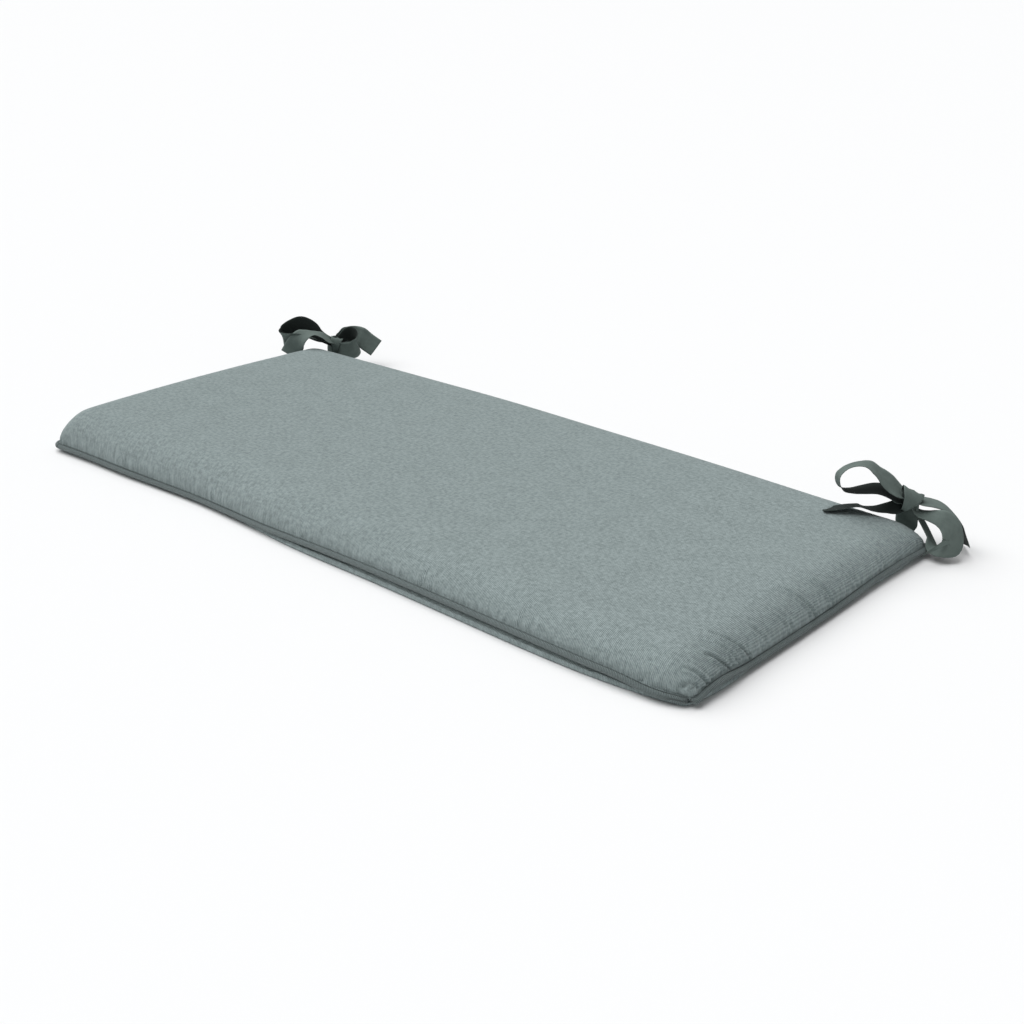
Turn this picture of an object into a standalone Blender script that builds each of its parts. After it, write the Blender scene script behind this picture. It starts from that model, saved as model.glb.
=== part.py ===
"""Bench cushion: a filled pad with a piped seam all round, and a ribbon tied in a bow at each back corner.

Metres, +Z up. The origin is the middle of the flat underside. X runs along the bench, the sitter faces -Y,
and the ties are on the back edge, at +Y.
"""

import math

import bmesh
import bpy
import numpy as np
from mathutils import Matrix, Vector

# Driving dimensions
LENGTH = 1.10
WIDTH = 0.515
PIPING = 0.007  # diameter of the corded welt
GAP = 0.0003  # between pieces that are sewn together
RIBBON = 0.030  # width of the ties
RIBBON_THICK = 0.0012
TIE_INSET = 0.040  # from the pad's short edge to the middle of a tie

# The pad's form. The crown's height is given along the pad, over its front, its middle and its back.
CROWN_COLUMNS = ("share", "front", "middle", "back")
CROWN = (
    (0.00, 0.0620, 0.0585, 0.0400),
    (0.12, 0.0590, 0.0570, 0.0455),
    (0.25, 0.0560, 0.0560, 0.0505),
    (0.50, 0.0540, 0.0570, 0.0535),
    (0.75, 0.0520, 0.0550, 0.0505),
    (1.00, 0.0480, 0.0490, 0.0430),
)
ROLL = 0.042  # width of the band in which the top panel rolls down to the seam
ROLL_FULLNESS = 2.1  # power of the roll's curve: 2 is a quarter ellipse, more is boxier
CORNER_RADIUS = 0.012  # of the piping's middle, in plan
# Where rings of faces run, in from the seam
ROLL_STEPS = (0.0, 0.003, 0.007, 0.012, 0.018, 0.026, 0.034, ROLL)
# The bottom panel's rings: how far in from the foot of the wall, and the share of the wall's height left
BASE_STEPS = (
    (0.0000, 1.00),
    (0.0000, 0.45),
    (0.0006, 0.10),
    (0.0035, 0.00),
    (0.0110, 0.00),
    (0.0200, 0.00),
    (0.0300, 0.00),
    (0.0420, 0.00),
)
COLUMNS = 26  # faces along the pad between the rolls
ROWS = 11  # faces across it between the rolls
WELT_ANGLES = (245.0, 212.5, 180.0, 147.5, 115.0)  # the pad's face round the piping, in degrees from outward

# Each edge, from its left or front end: share of the length, height of the seam, and how far the seam and the
# foot of the wall under it lie inside the overall length or width.
EDGE_COLUMNS = ("share", "seam_height", "seam_in", "foot_in")
FRONT_EDGE = (
    (0.00, 0.0085, 0.0080, 0.0210),
    (0.07, 0.0080, 0.0120, 0.0200),
    (0.15, 0.0075, 0.0135, 0.0180),
    (0.22, 0.0070, 0.0175, 0.0205),
    (0.28, 0.0070, 0.0195, 0.0220),
    (0.35, 0.0080, 0.0160, 0.0180),
    (0.42, 0.0098, 0.0115, 0.0095),
    (0.60, 0.0122, 0.0085, 0.0050),
    (0.72, 0.0125, 0.0050, 0.0010),
    (0.82, 0.0125, 0.0015, -0.0020),
    (0.90, 0.0118, 0.0010, -0.0010),
    (0.96, 0.0100, 0.0040, 0.0055),
    (1.00, 0.0080, 0.0080, 0.0165),
)
RIGHT_EDGE = (
    (0.00, 0.0080, 0.0040, 0.0150),
    (0.05, 0.0098, 0.0045, 0.0070),
    (0.12, 0.0110, 0.0035, 0.0015),
    (0.22, 0.0085, 0.0045, 0.0070),
    (0.40, 0.0075, 0.0045, 0.0130),
    (0.62, 0.0075, 0.0055, 0.0140),
    (0.76, 0.0095, 0.0065, 0.0090),
    (0.88, 0.0105, 0.0050, 0.0050),
    (0.95, 0.0095, 0.0035, 0.0080),
    (1.00, 0.0080, 0.0038, 0.0170),
)
BACK_EDGE = (
    (0.00, 0.0080, 0.0065, 0.0190),
    (0.10, 0.0090, 0.0085, 0.0150),
    (0.25, 0.0085, 0.0105, 0.0160),
    (0.40, 0.0105, 0.0095, 0.0120),
    (0.55, 0.0090, 0.0110, 0.0160),
    (0.70, 0.0110, 0.0095, 0.0110),
    (0.88, 0.0090, 0.0075, 0.0140),
    (1.00, 0.0080, 0.0035, 0.0160),
)
LEFT_EDGE = (
    (0.00, 0.0085, 0.0035, 0.0200),
    (0.15, 0.0090, 0.0040, 0.0140),
    (0.40, 0.0085, 0.0050, 0.0120),
    (0.70, 0.0095, 0.0055, 0.0120),
    (1.00, 0.0080, 0.0040, 0.0170),
)

# The tuck that eases the top panel into the front right corner
TUCK_DEPTH = 0.0045
TUCK_REACH = 0.034
TUCK_HALF_WIDTH = 0.0045
TUCK_ANGLE = 158.0  # from +X, degrees

# The bows. Both are laid facing a sitter's right shoulder, so their tables are turned by BOW_YAW about Z at
# the knot. Each row is a section of ribbon: its middle (across the bow, back from its face, up), and the way
# its width runs.
BOW_YAW = 41.0
SECTION_COLUMNS = ("across", "back", "up", "width_across", "width_back", "width_up")
KNOT_PINCH = 0.55  # share of its width that a ribbon keeps inside the knot
PINCH_REACH = 0.018
RIBBON_STEP = 0.0045  # length of a face along a ribbon
RIGHT_KNOT = (0.512, 0.252, 0.0625)
RIGHT_KNOT_RADII = (0.0140, 0.0110, 0.0145)
RIGHT_BOW = {
    "long_loop": (
        (-0.0020, 0.0000, 0.0030, 0.2, -0.8, -0.6),
        (-0.0120, 0.0000, 0.0110, 0.3, -0.7, -0.6),
        (-0.0235, 0.0000, 0.0205, 0.3, -0.6, -0.7),
        (-0.0340, 0.0000, 0.0285, 0.2, -0.6, -0.7),
        (-0.0470, 0.0000, 0.0410, 0.1, -0.9, -0.3),
        (-0.0570, 0.0000, 0.0445, 0, -1, -0.1),
        (-0.0700, 0.0000, 0.0435, 0, -1, 0),
        (-0.0810, 0.0000, 0.0390, 0, -1, 0),
        (-0.0875, 0.0000, 0.0310, 0, -1, 0),
        (-0.0880, 0.0000, 0.0220, 0, -1, 0),
        (-0.0820, 0.0000, 0.0145, 0, -1, -0.1),
        (-0.0710, 0.0000, 0.0135, 0, -1, -0.1),
        (-0.0570, 0.0000, 0.0145, 0, -0.95, -0.25),
        (-0.0410, 0.0000, 0.0150, 0, -0.9, -0.3),
        (-0.0270, 0.0010, 0.0100, 0, -0.9, -0.3),
        (-0.0140, 0.0020, 0.0020, 0, -0.95, -0.2),
        (-0.0020, 0.0020, -0.0030, 0, -1, 0),
    ),
    "long_tail": (
        (-0.0010, 0.0000, -0.0080, 0, -1, 0.1),
        (-0.0110, 0.0000, -0.0090, 0, -1, 0),
        (-0.0230, 0.0000, -0.0105, 0, -1, -0.1),
        (-0.0350, 0.0000, -0.0115, 0, -1, 0),
        (-0.0475, 0.0000, -0.0105, 0, -1, 0.05),
        (-0.0590, 0.0000, -0.0075, 0, -1, 0.1),
        (-0.0720, 0.0000, -0.0085, 0, -1, 0.1),
        (-0.0840, 0.0000, -0.0095, 0, -1, 0.08),
        (-0.0950, 0.0000, -0.0102, 0, -1, 0.03),
        (-0.1040, 0.0000, -0.0100, 0, -1, 0),
    ),
    "short_loop": (
        (0.0030, -0.0020, -0.0050, 0, -1, 0),
        (0.0140, -0.0070, -0.0160, 0, -1, -0.1),
        (0.0260, -0.0150, -0.0200, -0.3, -0.8, -0.5),
        (0.0360, -0.0230, -0.0215, -0.6, -0.5, -0.6),
        (0.0445, -0.0300, -0.0260, -0.8, -0.4, -0.4),
        (0.0500, -0.0360, -0.0330, -0.9, -0.4, -0.1),
        (0.0520, -0.0390, -0.0420, -0.95, -0.3, 0.1),
        (0.0500, -0.0390, -0.0505, -0.9, -0.3, 0.2),
        (0.0440, -0.0350, -0.0555, -0.7, -0.6, 0.2),
        (0.0360, -0.0280, -0.0545, -0.5, -0.85, 0),
        (0.0310, -0.0200, -0.0485, -0.3, -0.95, 0),
        (0.0270, -0.0130, -0.0400, -0.2, -1, 0),
        (0.0210, -0.0070, -0.0320, -0.2, -1, 0),
        (0.0135, -0.0020, -0.0230, -0.1, -1, 0),
        (0.0060, 0.0010, -0.0120, 0, -1, 0),
        (0.0010, 0.0010, -0.0050, 0, -1, 0),
    ),
    "short_tail": (
        (0.0030, 0.0020, 0.0000, 0, -1, 0),
        (0.0150, 0.0000, -0.0020, 0, -1, 0),
        (0.0300, -0.0020, -0.0040, 0, -1, 0),
        (0.0420, -0.0040, -0.0075, 0, -1, 0),
        (0.0500, -0.0050, -0.0125, 0, -1, 0),
        (0.0580, -0.0060, -0.0195, 0, -1, 0.1),
        (0.0640, -0.0070, -0.0285, 0, -1, 0.2),
        (0.0685, -0.0095, -0.0405, 0, -0.95, 0.2),
        (0.0725, -0.0130, -0.0510, 0, -0.95, 0.2),
        (0.0742, -0.0145, -0.0560, 0, -0.95, 0.2),
    ),
}
LEFT_KNOT = (-0.508, 0.256, 0.0450)
LEFT_KNOT_RADII = (0.0110, 0.0095, 0.0120)
LEFT_BOW = {
    "long_loop": (
        (-0.0020, 0.0020, 0.0030, 0, -0.9, 0.4),
        (-0.0150, 0.0060, 0.0040, 0, -0.4, 0.9),
        (-0.0280, 0.0110, 0.0060, 0, -0.1, 1),
        (-0.0370, 0.0140, 0.0105, 0, 0, 1),
        (-0.0460, 0.0160, 0.0155, 0, 0, 1),
        (-0.0560, 0.0165, 0.0175, 0, 0, 1),
        (-0.0660, 0.0150, 0.0155, 0, 0, 1),
        (-0.0760, 0.0100, 0.0120, -0.1, -0.1, 1),
        (-0.0830, 0.0030, 0.0090, -0.1, -0.3, 0.9),
        (-0.0820, -0.0040, 0.0075, -0.1, -0.5, 0.8),
        (-0.0730, -0.0060, 0.0065, 0, -0.6, 0.8),
        (-0.0580, -0.0080, 0.0060, 0, -0.7, 0.7),
        (-0.0440, -0.0100, 0.0060, 0, -0.8, 0.6),
        (-0.0300, -0.0120, 0.0030, 0, -0.9, 0.4),
        (-0.0160, -0.0110, -0.0025, 0, -1, 0.2),
        (-0.0030, -0.0030, -0.0050, 0, -1, 0),
    ),
    "long_tail": (
        (-0.0010, -0.0070, 0.0025, 0, -1, -0.1),
        (-0.0100, -0.0140, 0.0095, 0, -1, 0),
        (-0.0200, -0.0190, 0.0170, 0, -1, 0.1),
        (-0.0300, -0.0210, 0.0205, 0, -1, 0.1),
        (-0.0410, -0.0240, 0.0215, 0.2, -1, 0),
        (-0.0500, -0.0270, 0.0200, 0.5, -0.8, -0.1),
        (-0.0565, -0.0255, 0.0150, 0.7, -0.6, 0),
        (-0.0615, -0.0205, 0.0070, 0.9, -0.3, 0.1),
        (-0.0665, -0.0140, -0.0045, 0.9, -0.2, 0.3),
        (-0.0710, -0.0085, -0.0155, 0.9, -0.2, 0.3),
        (-0.0725, -0.0070, -0.0195, 0.9, -0.2, 0.3),
    ),
    "short_loop": (
        (0.0020, -0.0030, -0.0040, 0, 0, 1),
        (0.0120, -0.0090, -0.0120, 0, 0, 1),
        (0.0240, -0.0120, -0.0140, -0.1, 0, 1),
        (0.0330, -0.0090, -0.0120, -0.2, 0, 1),
        (0.0375, -0.0020, -0.0080, -0.2, 0, 1),
        (0.0365, 0.0060, -0.0035, -0.2, 0, 1),
        (0.0310, 0.0130, -0.0005, -0.1, 0, 1),
        (0.0240, 0.0160, -0.0010, 0, 0, 1),
        (0.0160, 0.0130, -0.0030, 0, 0, 1),
        (0.0080, 0.0060, -0.0040, 0, 0, 1),
        (0.0020, 0.0010, -0.0010, 0, 0, 1),
    ),
    "short_tail": (
        (0.0020, 0.0050, 0.0030, 0, 0, 1),
        (0.0120, 0.0170, 0.0010, 0, 0, 1),
        (0.0260, 0.0260, -0.0010, 0.1, 0.1, 1),
        (0.0380, 0.0260, -0.0030, 0.2, 0.2, 1),
        (0.0470, 0.0200, -0.0065, 0.2, 0.3, 0.95),
        (0.0550, 0.0140, -0.0105, 0.3, 0.35, 0.9),
        (0.0625, 0.0100, -0.0145, 0.3, 0.35, 0.9),
        (0.0700, 0.0075, -0.0190, 0.3, 0.35, 0.9),
    ),
}

FABRIC_GREY_GREEN = (0.245, 0.285, 0.275)
RIBBON_GREY_GREEN = (0.085, 0.105, 0.100)


def clear_scene():
    for obj in list(bpy.data.objects):
        bpy.data.objects.remove(obj, do_unlink=True)


def new_collection(name):
    collection = bpy.data.collections.new(name)
    bpy.context.scene.collection.children.link(collection)
    return collection


def cloth_material(name, colour, roughness):
    material = bpy.data.materials.new(name)
    material.use_nodes = True
    shader = material.node_tree.nodes["Principled BSDF"]
    shader.inputs["Base Color"].default_value = (*colour, 1.0)
    shader.inputs["Roughness"].default_value = roughness
    shader.inputs["Metallic"].default_value = 0.0
    material.diffuse_color = (*colour, 1.0)
    return material


def smooth_curve(rows, places):
    """The rows of a table as a smooth curve: its first column is the place, and the rest follow it."""
    table = np.array(rows)
    knots, values = table[:, 0], table[:, 1:]
    slopes = np.gradient(values, knots, axis=0)
    places = np.atleast_1d(places)
    k = np.clip(np.searchsorted(knots, places) - 1, 0, len(knots) - 2)
    span = knots[k + 1] - knots[k]
    t = ((places - knots[k]) / span)[:, None]
    span = span[:, None]
    start = values[k] * (1 + 2 * t) * (1 - t) ** 2 + slopes[k] * span * t * (1 - t) ** 2
    end = values[k + 1] * (3 - 2 * t) * t**2 - slopes[k + 1] * span * (1 - t) * t**2
    return start + end


def mesh_object(name, bm, collection, material):
    mesh = bpy.data.meshes.new(name)
    bm.to_mesh(mesh)
    bm.free()
    mesh.materials.append(material)
    mesh.shade_smooth()
    obj = bpy.data.objects.new(name, mesh)
    collection.objects.link(obj)
    return obj


# ------------------------------------------------------------------ the pad and its piping


class PadForm:
    """Where each point of the pad lies. A point is named by its column, row and level on a box of faces:
    level 0 is the bottom panel, the last level is the top panel, and those between face the piping."""

    def __init__(self):
        self.steps = len(ROLL_STEPS) - 1
        self.columns = COLUMNS + 2 * self.steps
        self.rows = ROWS + 2 * self.steps
        self.levels = len(WELT_ANGLES) - 1
        self.front = smooth_curve(FRONT_EDGE, self.shares(self.columns, LENGTH))
        self.back = smooth_curve(BACK_EDGE, self.shares(self.columns, LENGTH))
        self.left = smooth_curve(LEFT_EDGE, self.shares(self.rows, WIDTH))
        self.right = smooth_curve(RIGHT_EDGE, self.shares(self.rows, WIDTH))
        self.seam = self.seam_points()

    def shares(self, count, size):
        """Where the lines of faces cross an edge, as shares of its length."""
        near = np.array(ROLL_STEPS) / size
        middle = np.linspace(near[-1], 1 - near[-1], count - 2 * self.steps + 1)
        return np.concatenate([near[:-1], middle, 1 - near[-2::-1]])

    def welt_offset(self, level):
        """How far out and up from the piping's middle the pad's face lies at this level."""
        angle = math.radians(WELT_ANGLES[level])
        reach = PIPING / 2 + GAP
        return reach * math.cos(angle), reach * math.sin(angle)

    def seam_height(self, column, row):
        """Height of the seam's middle, carried smoothly across the pad from its four edges."""
        u, v = column / self.columns, row / self.rows
        front, back = self.front[column][0], self.back[column][0]
        left, right = self.left[row][0], self.right[row][0]
        ends = (1 - u) * ((1 - v) * self.left[0][0] + v * self.left[-1][0])
        ends += u * ((1 - v) * self.right[0][0] + v * self.right[-1][0])
        return (1 - v) * front + v * back + (1 - u) * left + u * right - ends

    def across(self, place, count, size, edges, inset):
        """A coordinate along one axis. inset(edge, steps) is how far in from the overall size it lies."""
        low, high = edges
        if place <= self.steps:
            return -size / 2 + inset(low, place)
        if place >= count - self.steps:
            return size / 2 - inset(high, count - place)
        start = -size / 2 + inset(low, self.steps)
        end = size / 2 - inset(high, self.steps)
        return start + (end - start) * (place - self.steps) / (count - 2 * self.steps)

    def in_plan(self, column, row, inset):
        x = self.across(column, self.columns, LENGTH, (self.left[row], self.right[row]), inset)
        y = self.across(row, self.rows, WIDTH, (self.front[column], self.back[column]), inset)
        return self.rounded_corner(x, y, column, row)

    def rounded_corner(self, x, y, column, row):
        """Turns the square corner of the box of faces into an arc."""
        right, back = column > self.columns / 2, row > self.rows / 2
        side = (self.right if right else self.left)[-1 if back else 0]
        end = (self.back if back else self.front)[-1 if right else 0]
        sign_x, sign_y = 1 if right else -1, 1 if back else -1
        over_x = sign_x * x - (LENGTH / 2 - side[1] - CORNER_RADIUS)
        over_y = sign_y * y - (WIDTH / 2 - end[1] - CORNER_RADIUS)
        if min(over_x, over_y) <= 0:
            return x, y
        scale = max(over_x, over_y) / math.hypot(over_x, over_y)
        return x - sign_x * over_x * (1 - scale), y - sign_y * over_y * (1 - scale)

    def seam_points(self):
        """For each place round the seam, anticlockwise: the piping's middle and the way outward from it."""
        loop = [(column, 0) for column in range(self.columns)]
        loop += [(self.columns, row) for row in range(self.rows)]
        loop += [(column, self.rows) for column in range(self.columns, 0, -1)]
        loop += [(0, row) for row in range(self.rows, 0, -1)]
        middles = []
        for column, row in loop:
            plan = self.in_plan(column, row, lambda edge, steps: edge[1] + ROLL_STEPS[steps])
            middles.append(Vector((*plan, self.seam_height(column, row))))
        points = {}
        for k, place in enumerate(loop):
            before = (middles[k] - middles[k - 1]).normalized()
            after = (middles[(k + 1) % len(loop)] - middles[k]).normalized()
            along = before + after
            points[place] = (middles[k], Vector((along.y, -along.x, 0)).normalized())
        return points

    def top_plan(self, column, row):
        out, _ = self.welt_offset(self.levels)
        return self.in_plan(column, row, lambda edge, steps: edge[1] - out + ROLL_STEPS[steps])

    def base_plan(self, column, row):
        return self.in_plan(column, row, lambda edge, steps: edge[2] + BASE_STEPS[steps][0])

    def rise(self, column, row, share):
        """How much of its height or depth a panel has reached, from the share that each step in gives it."""
        from_side = min(column, self.columns - column, self.steps)
        from_end = min(row, self.rows - row, self.steps)
        return share(from_side) * share(from_end)

    def crown(self, x, y):
        """Height of the top panel, away from its rolls."""
        front, middle, back = smooth_curve(CROWN, x / LENGTH + 0.5)[0]
        across = 2 * y / WIDTH
        return middle + (back - front) / 2 * across + ((front + back) / 2 - middle) * across**2

    def tuck(self, x, y):
        """Depth of the tuck in the top panel at the front right corner."""
        corner_x = LENGTH / 2 - self.right[0][1]
        corner_y = -WIDTH / 2 + self.front[-1][1]
        along_x, along_y = math.cos(math.radians(TUCK_ANGLE)), math.sin(math.radians(TUCK_ANGLE))
        dx, dy = x - corner_x, y - corner_y
        along = dx * along_x + dy * along_y
        beside = dy * along_x - dx * along_y
        if not 0 < along < TUCK_REACH:
            return 0.0
        fade = math.sin(math.pi * along / TUCK_REACH)
        return TUCK_DEPTH * fade * math.exp(-((beside / TUCK_HALF_WIDTH) ** 2))

    def point(self, column, row, level):
        out, up = self.welt_offset(level)
        if (column, row) in self.seam:
            middle, outward = self.seam[column, row]
            return middle + outward * out + Vector((0, 0, up))
        lip = self.seam_height(column, row) + up
        if level == 0:
            depth = self.rise(column, row, lambda steps: 1 - BASE_STEPS[steps][1])
            return Vector((*self.base_plan(column, row), lip * (1 - depth)))
        x, y = self.top_plan(column, row)
        height = self.rise(column, row, roll_share)
        return Vector((x, y, lip + (self.crown(x, y) - lip) * height - self.tuck(x, y)))


def roll_share(steps):
    left_over = 1 - ROLL_STEPS[steps] / ROLL
    return (1 - left_over**ROLL_FULLNESS) ** (1 / ROLL_FULLNESS)


def box_of_faces(counts):
    """A box with a face for each unit, cut from a cube."""
    bm = bmesh.new()
    centre = Matrix.Translation([count / 2 for count in counts])
    bmesh.ops.create_cube(bm, size=1.0, matrix=centre @ Matrix.Diagonal((*counts, 1)))
    for axis, count in enumerate(counts):
        normal = Vector((0, 0, 0))
        normal[axis] = 1
        for cut in range(1, count):
            geometry = bm.verts[:] + bm.edges[:] + bm.faces[:]
            bmesh.ops.bisect_plane(bm, geom=geometry, plane_co=normal * cut, plane_no=normal)
    return bm


def make_pad(form, collection, material):
    """The filled pad: top and bottom panels sewn together round the piping."""
    bm = box_of_faces((form.columns, form.rows, form.levels))
    for vert in bm.verts:
        column, row, level = (round(value) for value in vert.co)
        vert.co = form.point(column, row, level)
    return mesh_object("pad", bm, collection, material)


def make_piping(form, collection, material):
    """The corded welt in the seam, one closed ring."""
    path = [middle for middle, _ in form.seam.values()]
    curve = bpy.data.curves.new("piping", "CURVE")
    curve.dimensions = "3D"
    curve.bevel_depth = PIPING / 2
    curve.bevel_resolution = 2
    spline = curve.splines.new("POLY")
    spline.points.add(len(path) - 1)
    for spline_point, place in zip(spline.points, path):
        spline_point.co = (*place, 1.0)
    spline.use_cyclic_u = True
    curve.materials.append(material)
    obj = bpy.data.objects.new("piping", curve)
    collection.objects.link(obj)
    return obj


# ------------------------------------------------------------------ the ties


def ribbon_sections(rows):
    """Even sections along a ribbon, as (middle, direction of its width, distance from its start)."""
    table = np.array(rows)
    lengths = np.linalg.norm(np.diff(table[:, :3], axis=0), axis=1)
    places = np.concatenate([[0.0], np.cumsum(lengths)])
    count = max(4, round(places[-1] / RIBBON_STEP))
    stations = np.linspace(0, places[-1], count + 1)
    curve = smooth_curve(np.column_stack([places, table]), stations)
    tangents = np.gradient(curve[:, :3], axis=0)
    sections = []
    for station, row, tangent in zip(stations, curve, tangents):
        along = Vector(tangent).normalized()
        width = Vector(row[3:])
        width = (width - along * width.dot(along)).normalized()
        sections.append((Vector(row[:3]), width, station))
    return sections


def ribbon_strip(name, rows, ends_in_knot, place, collection, material):
    """A strip of ribbon bent along the sections of a table."""
    sections = ribbon_sections(rows)
    last = sections[-1][2]
    bm = bmesh.new()
    shape = Matrix.Diagonal(((len(sections) - 1) / 2, 1, 1, 1))
    bmesh.ops.create_grid(bm, x_segments=len(sections) - 1, y_segments=2, size=1.0, matrix=shape)
    for vert in bm.verts:
        k = round(vert.co.x + (len(sections) - 1) / 2)
        middle, width, station = sections[k]
        from_knot = min(station, last - station) if ends_in_knot else station
        eased = min(from_knot / PINCH_REACH, 1.0)
        share = KNOT_PINCH + (1 - KNOT_PINCH) * eased * eased * (3 - 2 * eased)
        vert.co = middle + width * (vert.co.y * RIBBON / 2 * share)
    strip = mesh_object(name, bm, collection, material)
    strip.matrix_world = place
    thickness = strip.modifiers.new("ribbon thickness", "SOLIDIFY")
    thickness.thickness = RIBBON_THICK
    thickness.offset = 0.0
    strip.hide_render = True
    strip.display_type = "WIRE"
    return strip


def stem_rows(place):
    """The doubled ribbon from the seam up to the knot, in the bow's own frame."""
    to_bow = place.inverted()
    knot = place.translation
    share = 1 - TIE_INSET / LENGTH if knot.x > 0 else TIE_INSET / LENGTH
    seam_height, seam_in, _ = smooth_curve(BACK_EDGE, share)[0]
    root = Vector(((share - 0.5) * LENGTH, WIDTH / 2 - seam_in, seam_height + PIPING / 2 + 0.0008))
    bend = root + Vector((0, 0.004, 0.012))
    along_seam = to_bow.to_3x3() @ Vector((1, 0, 0))
    rows = []
    for point in (root, bend, bend.lerp(knot, 0.6), knot):
        rows.append((*(to_bow @ point), *along_seam))
    return rows


def make_tie(name, knot, radii, bow, collection, pieces, material):
    """A ribbon caught in the back seam and tied in a bow: a knot, two loops, two free tails and its stem."""
    place = Matrix.Translation(knot) @ Matrix.Rotation(math.radians(BOW_YAW), 4, "Z")
    bm = bmesh.new()
    shape = Matrix.Diagonal((*radii, 1))
    bmesh.ops.create_uvsphere(bm, u_segments=16, v_segments=10, radius=1.0, matrix=shape)
    tie = mesh_object(name, bm, collection, material)
    tie.matrix_world = place
    strips = [
        ribbon_strip(f"{name}_{piece}", rows, piece.endswith("loop"), place, pieces, material)
        for piece, rows in bow.items()
    ]
    strips.append(ribbon_strip(f"{name}_stem", stem_rows(place), False, place, pieces, material))
    for strip in strips:
        join = tie.modifiers.new(f"join {strip.name}", "BOOLEAN")
        join.operation = "UNION"
        join.solver = "EXACT"
        join.use_self = True
        join.object = strip
    return tie


def build():
    clear_scene()
    parts = new_collection("bench_cushion")
    pieces = new_collection("tie_pieces")
    cover = cloth_material("cover fabric", FABRIC_GREY_GREEN, 0.9)
    welt = cloth_material("piping fabric", FABRIC_GREY_GREEN, 0.9)
    ribbon = cloth_material("tie ribbon", RIBBON_GREY_GREEN, 0.7)
    form = PadForm()
    make_pad(form, parts, cover)
    make_piping(form, parts, welt)
    make_tie("tie_right", RIGHT_KNOT, RIGHT_KNOT_RADII, RIGHT_BOW, parts, pieces, ribbon)
    make_tie("tie_left", LEFT_KNOT, LEFT_KNOT_RADII, LEFT_BOW, parts, pieces, ribbon)


build()
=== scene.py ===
import math
import random

import bmesh
import bpy
import numpy as np
from mathutils import Matrix, Vector
from mathutils.kdtree import KDTree


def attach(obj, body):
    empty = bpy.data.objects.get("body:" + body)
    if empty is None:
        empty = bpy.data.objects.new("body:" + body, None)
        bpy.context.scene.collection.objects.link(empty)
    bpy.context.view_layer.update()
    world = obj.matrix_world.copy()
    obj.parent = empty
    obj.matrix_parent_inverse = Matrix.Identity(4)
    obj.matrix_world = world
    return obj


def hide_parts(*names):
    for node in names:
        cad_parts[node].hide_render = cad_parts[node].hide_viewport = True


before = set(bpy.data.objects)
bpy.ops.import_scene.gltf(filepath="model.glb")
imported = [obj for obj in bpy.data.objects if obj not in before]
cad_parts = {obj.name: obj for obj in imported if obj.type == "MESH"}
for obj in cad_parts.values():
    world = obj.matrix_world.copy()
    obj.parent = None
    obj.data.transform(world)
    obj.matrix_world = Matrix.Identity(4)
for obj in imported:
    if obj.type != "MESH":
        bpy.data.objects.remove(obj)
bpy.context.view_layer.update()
scene = bpy.context.scene

# ------------------------------------------------------------------ camera
# A long lens two metres away, looking down past the front right corner. It takes in the whole cushion, which
# lies flat on its underside.

CAMERA_AIM = Vector((0.111, -0.022, 0.020))
CAMERA_AZIMUTH = math.radians(41.15)
CAMERA_ELEVATION = math.radians(23.85)
CAMERA_DISTANCE = 2.072
CAMERA_SENSOR, CAMERA_LENS = 36.0, 57.83  # millimetres

to_camera = Vector((
    math.sin(CAMERA_AZIMUTH) * math.cos(CAMERA_ELEVATION),
    -math.cos(CAMERA_AZIMUTH) * math.cos(CAMERA_ELEVATION),
    math.sin(CAMERA_ELEVATION),
))
camera = bpy.data.objects.new("camera", bpy.data.cameras.new("camera"))
camera.data.sensor_width = CAMERA_SENSOR
camera.data.lens = CAMERA_LENS
camera.location = CAMERA_AIM + to_camera * CAMERA_DISTANCE
camera.rotation_euler = (-to_camera).to_track_quat("-Z", "Y").to_euler()
scene.collection.objects.link(camera)
scene.camera = camera

# ------------------------------------------------------------------ floor and light
# A plain pale studio floor. One wide soft light comes from above the left end, and a weak even light
# from all round fills the shaded sides.

FLOOR_HALF = 14.0
FLOOR_COLOUR = (0.86, 0.865, 0.87)
LIGHT_FROM = Vector((-0.62, -0.12, 1.25))
LIGHT_STRENGTH = 2.95
LIGHT_SPREAD = math.radians(75)
FILL_STRENGTH = 0.31


def mesh_object(name, bm):
    """The bmesh as an object at the origin, smooth shaded."""
    mesh = bpy.data.meshes.new(name)
    bm.to_mesh(mesh)
    bm.free()
    mesh.shade_smooth()
    obj = bpy.data.objects.new(name, mesh)
    scene.collection.objects.link(obj)
    return obj


floor_paint = bpy.data.materials.new("studio floor")
floor_paint.use_nodes = True
floor_shader = floor_paint.node_tree.nodes["Principled BSDF"]
floor_shader.inputs["Base Color"].default_value = (*FLOOR_COLOUR, 1)
floor_shader.inputs["Roughness"].default_value = 0.95
floor_shader.inputs["Specular IOR Level"].default_value = 0.1

bm = bmesh.new()
bmesh.ops.create_grid(bm, x_segments=2, y_segments=2, size=FLOOR_HALF)
floor = mesh_object("floor", bm)
floor.data.materials.append(floor_paint)

lamp = bpy.data.objects.new("soft light", bpy.data.lights.new("soft light", "SUN"))
lamp.data.energy = LIGHT_STRENGTH
lamp.data.angle = LIGHT_SPREAD
lamp.rotation_euler = LIGHT_FROM.to_track_quat("Z", "Y").to_euler()
scene.collection.objects.link(lamp)
world = bpy.data.worlds.new("studio")
world.use_nodes = True
world.node_tree.nodes["Background"].inputs["Color"].default_value = (1, 1, 1, 1)
world.node_tree.nodes["Background"].inputs["Strength"].default_value = FILL_STRENGTH
scene.world = world
scene.view_settings.view_transform = "Standard"

# ------------------------------------------------------------------ pad
# A flat bag of heathered, rib-woven cover cloth with a foam and fibre filling. Top and bottom panels are cut
# alike and sewn together round the piping, so the top rolls down to the seam and puckers where the stitches
# draw it in. The front right corner is eased into the seam with a small tuck.

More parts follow.
